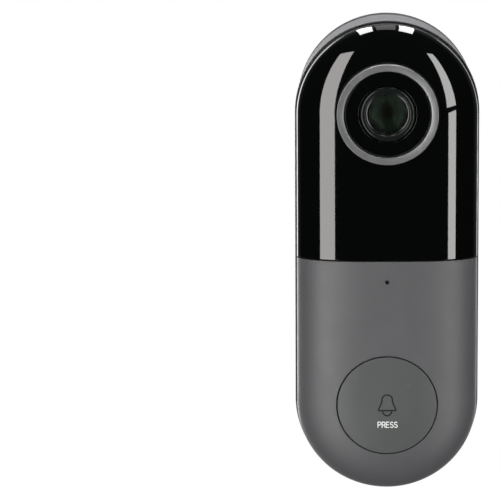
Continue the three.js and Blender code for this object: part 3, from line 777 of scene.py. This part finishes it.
def slot_mesh(depth, middle, half, radius):
    """A long round-ended cutter through the right wall."""
    inside, outside = 20, 24
    work = bmesh.new()
    outline_points = []
    for start, z in ((0, middle + half), (math.pi, middle - half)):
        for k in range(13):
            a = start + math.pi * k / 12
            outline_points.append((radius * math.cos(a), z + radius * math.sin(a)))
    near = [work.verts.new(Vector((inside, -depth + y, z)) * MM) for y, z in outline_points]
    far = [work.verts.new(Vector((outside, -depth + y, z)) * MM) for y, z in outline_points]
    for i in range(len(near)):
        j = (i + 1) % len(near)
        work.faces.new((near[i], near[j], far[j], far[i]))
    work.faces.new(near[::-1])
    work.faces.new(far)
    bmesh.ops.recalc_face_normals(work, faces=work.faces)
    return to_mesh(work)


def case_seal():
    outer, inner = SEAL_X[1], SEAL_X[1] - 1.2
    back, front = SEAL_D
    corners = [(outer, back), (outer, front), (inner, front), (inner, back)]
    section = rounded([(radius, depth, 0.2) for radius, depth in corners], 4)
    return placed(
        "seal_band", stadium_mesh(section, 64, 4), body="unit", slot="seal_rubber",
        replaces=["case_seal"],
    )


def wall_bracket():
    """A flat plate with four hooks, a tab for the lock screw and two countersunk holes."""
    edge, thick = BRACKET_X[1] - 0.3, BRACKET_THICK
    section = rounded([
        (0, 0, 0), (edge - 0.1, 0, 0.2), (edge, 0.8, 0.3), (edge, thick, 0.5), (0, thick, 0),
    ])
    root = thick - 0.5
    solids = []
    for x, z in HOOKS:
        across = (x - HOOK_HALF_WIDTH, x + HOOK_HALF_WIDTH)
        solids.append(box_mesh(across, (root, HOOK_TIP[1]), (z, z + 2), 0.2))
        solids.append(box_mesh(across, HOOK_TIP, (z, z + 4.5), 0.3))
    solids.append(box_mesh((-TAB_HALF_WIDTH, TAB_HALF_WIDTH), (root, TAB_END), (-51.7, -49.2), 0.4))
    mesh = combined(stadium_mesh(section), solids, "UNION")
    holes = [rod_mesh("z", 1.3, -53, -48, (0, LOCK_SCREW_D), 48)]
    for z in WALL_SCREWS_Z:
        holes.append(rod_mesh("y", 2.0, -1, 4, (0, z), 64))
        holes.append(countersink(z, thick))
    mesh = combined(mesh, holes, "DIFFERENCE")
    return placed(
        "bracket_plate", mesh, 30, body="bracket", slot="bracket_black", replaces=["wall_bracket"]
    )


def countersink(z, thick):
    """A cone that opens towards the front of the bracket."""
    wide, narrow, deep = 4.8, 1.95, 2.85
    work = bmesh.new()
    bmesh.ops.create_cone(
        work, cap_ends=True, segments=64, radius1=wide * MM, radius2=narrow * MM, depth=deep * MM
    )
    turn = Matrix.Rotation(-math.pi / 2, 4, "X")
    place = Matrix.Translation(Vector((0, -(thick + 1 - deep / 2), z)) * MM)
    bmesh.ops.transform(work, matrix=place @ turn, verts=work.verts)
    return to_mesh(work)


def usb_flap():
    """A curved rubber door that continues the bottom wall. Its inner front edge is bevelled, so that
    it clears the housing as it opens."""
    outer = RADIUS - 0.1
    half = FLAP_X[1]
    back, front = FLAP_D
    section = rounded([
        (outer, back, 0.25), (outer, front, 0.2), (outer - 0.5, front, 0.1),
        (outer - 1.0, front - 0.5, 0.1), (outer - 1.0, back, 0.2),
    ], 4)
    limit = math.asin(half / outer)
    steps = 40
    points, faces = [], []
    count = len(section)
    for s in range(steps + 1):
        t = -1 + 2 * s / steps
        a = -math.pi / 2 + limit * t
        pinch = 0.12 * max(0.0, (abs(t) - 0.94) / 0.06) ** 2
        for r, d in section:
            middle_r, middle_d = outer - 0.5, (back + front) / 2
            r2 = middle_r + (r - middle_r) * (1 - pinch)
            d2 = middle_d + (d - middle_d) * (1 - pinch)
            points.append((r2 * math.cos(a), -d2, -STRAIGHT + r2 * math.sin(a)))
    for s in range(steps):
        for i in range(count):
            j = (i + 1) % count
            faces.append((s * count + i, s * count + j, (s + 1) * count + j, (s + 1) * count + i))
    faces += [tuple(range(count)), tuple(range(steps * count, (steps + 1) * count))[::-1]]
    made = new_object("flap_skin", np.array(points) * MM, faces, None, "flap", "seal_rubber", ["usb_flap"])
    return sharpen(made, 40)


def security_screw():
    """A screw with a hexagonal socket, up through the housing's bottom and the bracket's tab."""
    spot = (0, LOCK_SCREW_D)
    head = rod_mesh("z", 1.9, BOTTOM + 0.3, BOTTOM + 1.1, spot, 72)
    shaft = rod_mesh("z", 1.0, BOTTOM + 1.0, -49.6, spot, 40)
    socket = rod_mesh("z", 0.8, BOTTOM - 1, BOTTOM + 0.85, spot, 6)
    mesh = combined(combined(head, [shaft], "UNION"), [socket], "DIFFERENCE")
    made = placed("lock_screw", mesh, 30, body="unit", slot="screw_steel", replaces=["security_screw"])
    bevel = made.modifiers.new("edge", "BEVEL")
    bevel.width, bevel.segments, bevel.limit_method = 0.08 * MM, 3, "ANGLE"
    made.modifiers.move(1, 0)
    return made


# ------------------------------------------------------------------ camera


def dome_section(radius, back, rim, apex):
    rise = apex - rim
    sphere = (radius**2 + rise**2) / (2 * rise)
    limit = math.asin(radius / sphere)
    dome = [
        (sphere * math.sin(a), apex - sphere + sphere * math.cos(a)) for a in np.linspace(0, limit, 24)
    ]
    dome[0] = (0.0, apex)
    return [*dome, (radius, back + 0.1), (radius - 0.1, back), (0.0, back)]


def trim_band():
    front, shoulder = TRIM_D[1], LENS_D[0] - 0.1
    flange, inner_flange = TRIM_X[1], 10.2
    section = rounded([
        (TRIM_INNER, shoulder, 0.05), (TRIM_INNER, front - TRIM_DISH, 0.1),
        (TRIM_OUTER, front, 0.12), (TRIM_OUTER, 22.6, 0.05),
        (flange, 22.6, 0.1), (flange, 21.6, 0.1), (inner_flange, 21.6, 0.1),
        (inner_flange, shoulder, 0.05),
    ])
    lathe("trim_band", section, CAMERA_Z, 256, slot="trim_silver", replaces=["camera_trim"])


def lens_bezel():
    """The flat black disc round the lens."""
    inner, outer = 7.0, 10.35
    back, front = LENS_D[0], 25.7
    section = rounded([(inner, back, 0.1), (inner, front, 0.12), (outer, front, 0.15), (outer, back, 0.1)])
    lathe("lens_bezel", section, CAMERA_Z, 224, slot="panel_black", replaces=["lens_cover"])


def lens_collar():
    """A rounded shoulder that falls to a narrow seat round the front element."""
    section = rounded([
        (6.75, 23.0, 0.1), (6.75, 25.9, 0.9), (5.3, 25.75, 0.6), (5.2, 25.12, 0.03), (4.96, 25.056, 0.03),
        (4.95, 23.0, 0.05),
    ], 8)
    lathe("lens_collar", section, CAMERA_Z, 192, slot="black_plastic", replaces=["lens_retainer"],
          look="collar_black")


def lens_elements():
    lathe("front_element", dome_section(LENS_RADIUS, 23.8, 24.9, 25.7), CAMERA_Z, 128,
          slot="lens_glass", replaces=["lens_front_glass"])
    dome = dome_section(3.6, 14.2, 15.3, 16.2)[:-3]
    rim = [(LENS_RADIUS, 15.3), (LENS_RADIUS, 14.3), (LENS_RADIUS - 0.1, 14.2), (0.0, 14.2)]
    lathe("rear_element", [*dome, *rim], CAMERA_Z, 96, slot="lens_glass",
          replaces=["lens_rear_glass"], look="lens_coated")


def stop_plate():
    """The dished plate whose hole is the lens's pupil."""
    section = rounded([
        (1.9, 21.4, 0), (1.8, 21.65, 0.05), (1.9, 21.9, 0), (LENS_RADIUS, 22.8, 0.1),
        (LENS_RADIUS, 21.2, 0),
    ])
    lathe("stop_plate", section, CAMERA_Z, 128, slot="black_plastic", replaces=["lens_aperture"],
          look="stop_black")


def barrel_tube():
    """A tube with fine steps inside that stop stray light."""
    corners = [(5.0, 13.6, 0), (6.3, 13.6, 0.2), (6.3, 22.7, 0.3), (5.0, 22.7, 0.1)]
    for k in range(6):
        radius, depth = 5.0 if k % 2 else 4.9, 22.2 - k * 0.42
        corners += [(radius, depth, 0), (radius, depth - 0.4, 0)]
    lathe("barrel_tube", rounded(corners), CAMERA_Z, 96, slot="black_plastic",
          replaces=["lens_barrel"], look="stop_black")


# ------------------------------------------------------------------ finishes

MATERIALS = {}


class Graph:
    """A short way to write shader nodes."""

    def __init__(self, name):
        self.material = bpy.data.materials.new(name)
        self.material.use_nodes = True
        self.tree = self.material.node_tree
        self.shader = self.tree.nodes["Principled BSDF"]
        self.place = self.tree.nodes.new("ShaderNodeTexCoord").outputs["Object"]

    def node(self, kind, **inputs):
        made = self.tree.nodes.new(kind)
        for key, value in inputs.items():
            made.inputs[key].default_value = value
        return made

    def link(self, source, target):
        self.tree.links.new(source, target)
        return target

    def noise(self, scale, detail=3.0, stretch=(1, 1, 1)):
        mapping = self.node("ShaderNodeMapping", Scale=stretch)
        self.link(self.place, mapping.inputs["Vector"])
        noise = self.node("ShaderNodeTexNoise", Scale=scale, Detail=detail, Roughness=0.55)
        self.link(mapping.outputs["Vector"], noise.inputs["Vector"])
        return noise.outputs["Fac"]

    def ranged(self, value, low, high, source_low=0.3, source_high=0.7):
        step = self.node("ShaderNodeMapRange")
        ends = {"From Min": source_low, "From Max": source_high, "To Min": low, "To Max": high}
        for key, number in ends.items():
            step.inputs[key].default_value = number
        self.link(value, step.inputs["Value"])
        return step.outputs["Result"]

    def mix(self, factor, first, second):
        step = self.node("ShaderNodeMix")
        step.data_type = "RGBA"
        self.link(factor, step.inputs["Factor"])
        for socket, value in ((step.inputs[6], first), (step.inputs[7], second)):
            if isinstance(value, bpy.types.NodeSocket):
                self.link(value, socket)
            else:
                socket.default_value = (*value, 1)
        return step.outputs[2]

    def worn_edges(self):
        """A mask that is 1 on convex edges."""
        point = self.tree.nodes.new("ShaderNodeNewGeometry").outputs["Pointiness"]
        return self.ranged(point, 0, 1, 0.52, 0.6)

    def bump(self, height, strength, distance):
        step = self.node("ShaderNodeBump", Strength=strength, Distance=distance * MM)
        self.link(height, step.inputs["Height"])
        self.link(step.outputs["Normal"], self.shader.inputs["Normal"])


def finish(name, color, rough, spread, grain, grain_scale, metallic=0.0, edge=1.25, patch=0.06,
           stretch=(1, 1, 1), **sockets):
    """A finish with patchy colour, uneven roughness, surface grain and lighter rubbed edges."""
    graph = Graph(name)
    shader = graph.shader
    dark = [c * (1 - patch) for c in color]
    light = [c * (1 + patch) for c in color]
    base = graph.mix(graph.ranged(graph.noise(90, 4), 0, 1), dark, light)
    rubbed = [min(c * edge, 1) for c in color]
    graph.link(graph.mix(graph.worn_edges(), base, rubbed), shader.inputs["Base Color"])
    graph.link(graph.ranged(graph.noise(260, 3), rough - spread, rough + spread), shader.inputs["Roughness"])
    graph.bump(graph.noise(grain_scale, 2, stretch), 1.0, grain)
    shader.inputs["Metallic"].default_value = metallic
    for key, value in sockets.items():
        shader.inputs[key.replace("_", " ")].default_value = value
    return graph.material


def glass(name, color, rough, index=1.45, tint=(1, 1, 1)):
    """A clear finish with faintly uneven colour, roughness and surface."""
    graph = Graph(name)
    shader = graph.shader
    dark = [c * 0.9 for c in color]
    graph.link(graph.mix(graph.ranged(graph.noise(120, 3), 0, 1), dark, color), shader.inputs["Base Color"])
    graph.link(graph.ranged(graph.noise(900, 3), rough, rough + 0.02), shader.inputs["Roughness"])
    graph.bump(graph.noise(1500, 2), 0.2, 0.002)
    shader.inputs["Transmission Weight"].default_value = 1.0
    shader.inputs["IOR"].default_value = index
    shader.inputs["Specular Tint"].default_value = (*tint, 1)
    return graph.material


FINISHES = {
    "case_grey": lambda n: finish(n, (0.07, 0.0705, 0.076), 0.43, 0.04, 0.02, 5200, edge=1.12, patch=0.03),
    "button_grey": lambda n: finish(n, (0.061, 0.0655, 0.067), 0.42, 0.04, 0.02, 5200, edge=1.12, patch=0.03),
    "panel_black": lambda n: finish(n, (0.001, 0.0013, 0.0012), 0.035, 0.008, 0.0016, 700, edge=1.5),
    "bracket_black": lambda n: finish(n, (0.012, 0.012, 0.013), 0.55, 0.06, 0.03, 4200,
                                      Specular_IOR_Level=0.15),
    "trim_silver": lambda n: finish(n, (0.222, 0.226, 0.233), 0.36, 0.03, 0.012, 5000, 0.85, edge=1.15),
    "lens_glass": lambda n: glass(n, (0.72, 0.86, 0.78), 0.35, 1.07),
    "lens_coated": lambda n: glass(n, (0.8, 0.6, 0.55), 0.1, 1.8, (1.0, 0.55, 0.45)),
    "black_plastic": lambda n: finish(n, (0.010, 0.011, 0.0105), 0.32, 0.05, 0.01, 3600),
    "collar_black": lambda n: finish(n, (0.006, 0.0075, 0.007), 0.17, 0.015, 0.003, 3600,
                                     Specular_IOR_Level=0.32),
    "stop_black": lambda n: finish(n, (0.012, 0.0165, 0.0138), 0.5, 0.05, 0.01, 3600,
                                   Specular_IOR_Level=0.04),
    "seal_rubber": lambda n: finish(n, (0.055, 0.055, 0.058), 0.7, 0.06, 0.03, 3200),
    "screw_steel": lambda n: finish(n, (0.42, 0.42, 0.43), 0.34, 0.08, 0.012, 2600, 1.0),
    "board_green": lambda n: finish(n, (0.012, 0.09, 0.035), 0.4, 0.08, 0.03, 1800),
    "chip_black": lambda n: finish(n, (0.01, 0.01, 0.011), 0.5, 0.08, 0.02, 3600),
    "shield_steel": lambda n: finish(n, (0.5, 0.5, 0.51), 0.32, 0.07, 0.01, 1800, 1.0, stretch=(1, 1, 8)),
    "coil_copper": lambda n: finish(n, (0.48, 0.19, 0.06), 0.3, 0.06, 0.05, 900, 1.0, stretch=(12, 1, 1)),
    "flex_amber": lambda n: finish(n, (0.36, 0.14, 0.02), 0.3, 0.06, 0.02, 1200, stretch=(8, 1, 1)),
    "cell_foil": lambda n: finish(n, (0.33, 0.36, 0.4), 0.36, 0.08, 0.06, 400, 0.7),
    "foam_black": lambda n: finish(n, (0.015, 0.015, 0.016), 0.85, 0.08, 0.1, 1600),
    "white_plastic": lambda n: finish(n, (0.78, 0.79, 0.79), 0.45, 0.06, 0.01, 3600, edge=1.05),
    "filter_glass": lambda n: glass(n, (0.35, 0.7, 0.65), 0.02),
    "led_clear": lambda n: glass(n, (0.5, 0.5, 0.52), 0.03),
}


def material(slot):
    if slot not in MATERIALS:
        MATERIALS[slot] = FINISHES[slot](slot)
    return MATERIALS[slot]


def dress_cad_nodes():
    """Each carried-over CAD node gets its slot's finish."""
    for row in frame["record"]["subparts"]:
        node = frame["nodes"][row["node"]]
        node.data.materials.clear()
        node.data.materials.append(material(row["material_slot"]))


# ------------------------------------------------------------------ studio


def glow(name, color, strength):
    made = bpy.data.materials.new(name)
    made.use_nodes = True
    tree = made.node_tree
    tree.nodes.clear()
    shader = tree.nodes.new("ShaderNodeEmission")
    shader.inputs["Color"].default_value = (*color, 1)
    shader.inputs["Strength"].default_value = strength
    output = tree.nodes.new("ShaderNodeOutputMaterial")
    tree.links.new(shader.outputs["Emission"], output.inputs["Surface"])
    return made


def stage_quad(name, corners, shader, camera=False, bounce=True):
    mesh = bpy.data.meshes.new(name)
    mesh.from_pydata([tuple(c) for c in corners], [], [(0, 1, 2, 3)])
    mesh.materials.append(shader)
    quad = bpy.data.objects.new(name, mesh)
    bpy.context.scene.collection.objects.link(quad)
    quad.visible_camera = camera
    quad.visible_glossy = quad.visible_diffuse = quad.visible_transmission = bounce
    quad.visible_shadow = False
    return quad


def seen_from(origin, directions, distance):
    """Corners at a distance from a point in millimetres, along azimuths and elevations in degrees.
    Azimuth 0 is straight out of the front and 90 is to the right."""
    made = []
    for azimuth, elevation in directions:
        a, e = math.radians(azimuth), math.radians(elevation)
        way = Vector((math.sin(a) * math.cos(e), -math.cos(a) * math.cos(e), math.sin(e)))
        made.append(Vector(origin) * MM + way * distance)
    return made


def softboxes():
    """Lights beside and over the doorbell, each placed where the glossy front mirrors it."""
    warm, cool = (1.0, 0.975, 0.955), (1.0, 0.995, 0.98)
    low_left, high_left = (-16, -24, 2), (-10, -23.5, 51)
    left = seen_from(low_left, [(-33.6, -40), (-17.0, -40)], 1.0)
    left += seen_from(high_left, [(-22.2, 30), (-37.3, 32)], 1.0)
    stage_quad("softbox_left", left, glow("glow_left", warm, 8.6))
    right = seen_from((15, -24, 2), [(30.2, -40), (38.0, -40)], 1.0)
    right += seen_from((15, -24, 37), [(38.3, -6.9), (29.0, -8.7)], 1.0)
    stage_quad("softbox_right_low", right, glow("glow_right", cool, 10.0))
    right = seen_from((15, -24, 38), [(27.6, -6.4), (38.6, -4.4)], 1.0)
    right += seen_from((10, -23.5, 51), [(35.6, 29.8), (28.7, 28.8)], 1.0)
    stage_quad("softbox_right_high", right, glow("glow_right_high", cool, 10.4))
    edge = seen_from((-22, -21, 0), [(-116, -42), (-148, -42), (-148, 42), (-116, 42)], 1.0)
    stage_quad("striplight_left", edge, glow("glow_strip", cool, 7.0))
    edge = seen_from((22, -21, 0), [(124, -42), (142, -42), (142, 42), (124, 42)], 1.0)
    stage_quad("striplight_right", edge, glow("glow_strip_right", cool, 4.0))
    overhead = [
        ("overhead_left", (-5, -21.5, 56.5), [(-160, 37), (-166, 51), (-32, 71), (-47, 62)], 22),
        ("overhead_middle", (0, -21.5, 56.5), [(-168, 52), (172, 47), (26, 74), (-30, 75)], 2.2),
        ("overhead_right", (4, -21.5, 56.5), [(170, 44), (161, 38), (46, 62), (28, 70)], 22),
    ]
    for name, origin, directions, strength in overhead:
        stage_quad(name, seen_from(origin, directions, 0.8), glow(name, cool, strength))


def floor_and_world():
    """A white floor that only the camera sees, a pale patch behind that lights the sides, and a sky
    that grows brighter towards the back."""
    white = (1.0, 1.0, 1.0)
    level = -0.35
    wide = [(-9, -9, level), (9, -9, level), (9, 9, level), (-9, 9, level)]
    stage_quad("floor", wide, glow("floor_white", white, 1.0), camera=True, bounce=False)
    below = level - 0.001
    behind = [(-1, 0.2, below), (1, 0.2, below), (1, 4, below), (-1, 4, below)]
    stage_quad("floor_bounce", behind, glow("floor_bounce", white, 0.95))
    world = bpy.data.worlds.new("studio")
    bpy.context.scene.world = world
    world.use_nodes = True
    tree = world.node_tree
    tree.nodes.clear()
    place = tree.nodes.new("ShaderNodeTexCoord")
    split = tree.nodes.new("ShaderNodeSeparateXYZ")
    tree.links.new(place.outputs["Generated"], split.inputs["Vector"])
    ramp = tree.nodes.new("ShaderNodeMapRange")
    for key, value in {"From Min": -0.15, "From Max": 0.35, "To Min": 0.02, "To Max": 0.3}.items():
        ramp.inputs[key].default_value = value
    tree.links.new(split.outputs["Y"], ramp.inputs["Value"])
    path = tree.nodes.new("ShaderNodeLightPath")
    seen = tree.nodes.new("ShaderNodeMix")
    tree.links.new(path.outputs["Is Camera Ray"], seen.inputs["Factor"])
    tree.links.new(ramp.outputs["Result"], seen.inputs["A"])
    seen.inputs["B"].default_value = 1.0
    sky = tree.nodes.new("ShaderNodeBackground")
    tree.links.new(seen.outputs["Result"], sky.inputs["Strength"])
    output = tree.nodes.new("ShaderNodeOutputWorld")
    tree.links.new(sky.outputs["Background"], output.inputs["Surface"])


def camera():
    """A long lens a metre away, 12.5 degrees above and a degree to the left. It looks a little to
    the left of the doorbell, so that the doorbell stands right of the middle of the picture."""
    pitch, yaw, roll = math.radians(12.52), math.radians(1.08), 0.002
    ahead = Vector((math.sin(yaw) * math.cos(pitch), math.cos(yaw) * math.cos(pitch), -math.sin(pitch)))
    level = Vector((math.cos(yaw), -math.sin(yaw), 0))
    up = level.cross(ahead)
    middle = Vector((0, -16.95, 0)) * MM
    place = middle - ahead * 1.061
    right = level * math.cos(roll) + up * math.sin(roll)
    up = up * math.cos(roll) - level * math.sin(roll)
    target = middle - right * 33.6 * MM + up * 1.28 * MM
    ahead = (target - place).normalized()
    right = (right - ahead * right.dot(ahead)).normalized()
    up = right.cross(ahead)
    data = bpy.data.cameras.new("camera")
    data.lens, data.sensor_width = 311.0, 36.0
    data.clip_start, data.clip_end = 0.05, 30
    made = bpy.data.objects.new("camera", data)
    made.matrix_world = Matrix.Translation(place) @ Matrix((right, up, -ahead)).transposed().to_4x4()
    bpy.context.scene.collection.objects.link(made)
    bpy.context.scene.camera = made


# ------------------------------------------------------------------ the doorbell

dress_cad_nodes()
split_shell("panel_shell", True, CAMERA_Z, TRIM_HOLE, SPLIT + SPLIT_GAP / 2, 0.14,
            slot="panel_black", replaces=["front_panel"])
split_shell("cover_shell", False, BUTTON_CENTRE, BUTTON_HOLE, SPLIT - SPLIT_GAP / 2, 0.16,
            pits=[((0.0, MIC_CENTRE), MIC_RADIUS, MIC_DEPTH)], slot="case_grey",
            replaces=["front_cover"])
button_cap()
marks("bell_mark", bell_strokes(), 0.36, "bracket_black")
marks("press_word", word_strokes(), 0.2, "white_plastic")
rear_housing()
case_seal()
wall_bracket()
usb_flap()
security_screw()
trim_band()
lens_bezel()
lens_collar()
lens_elements()
stop_plate()
barrel_tube()
softboxes()
floor_and_world()
camera()
bpy.context.scene.view_settings.view_transform = "Standard"
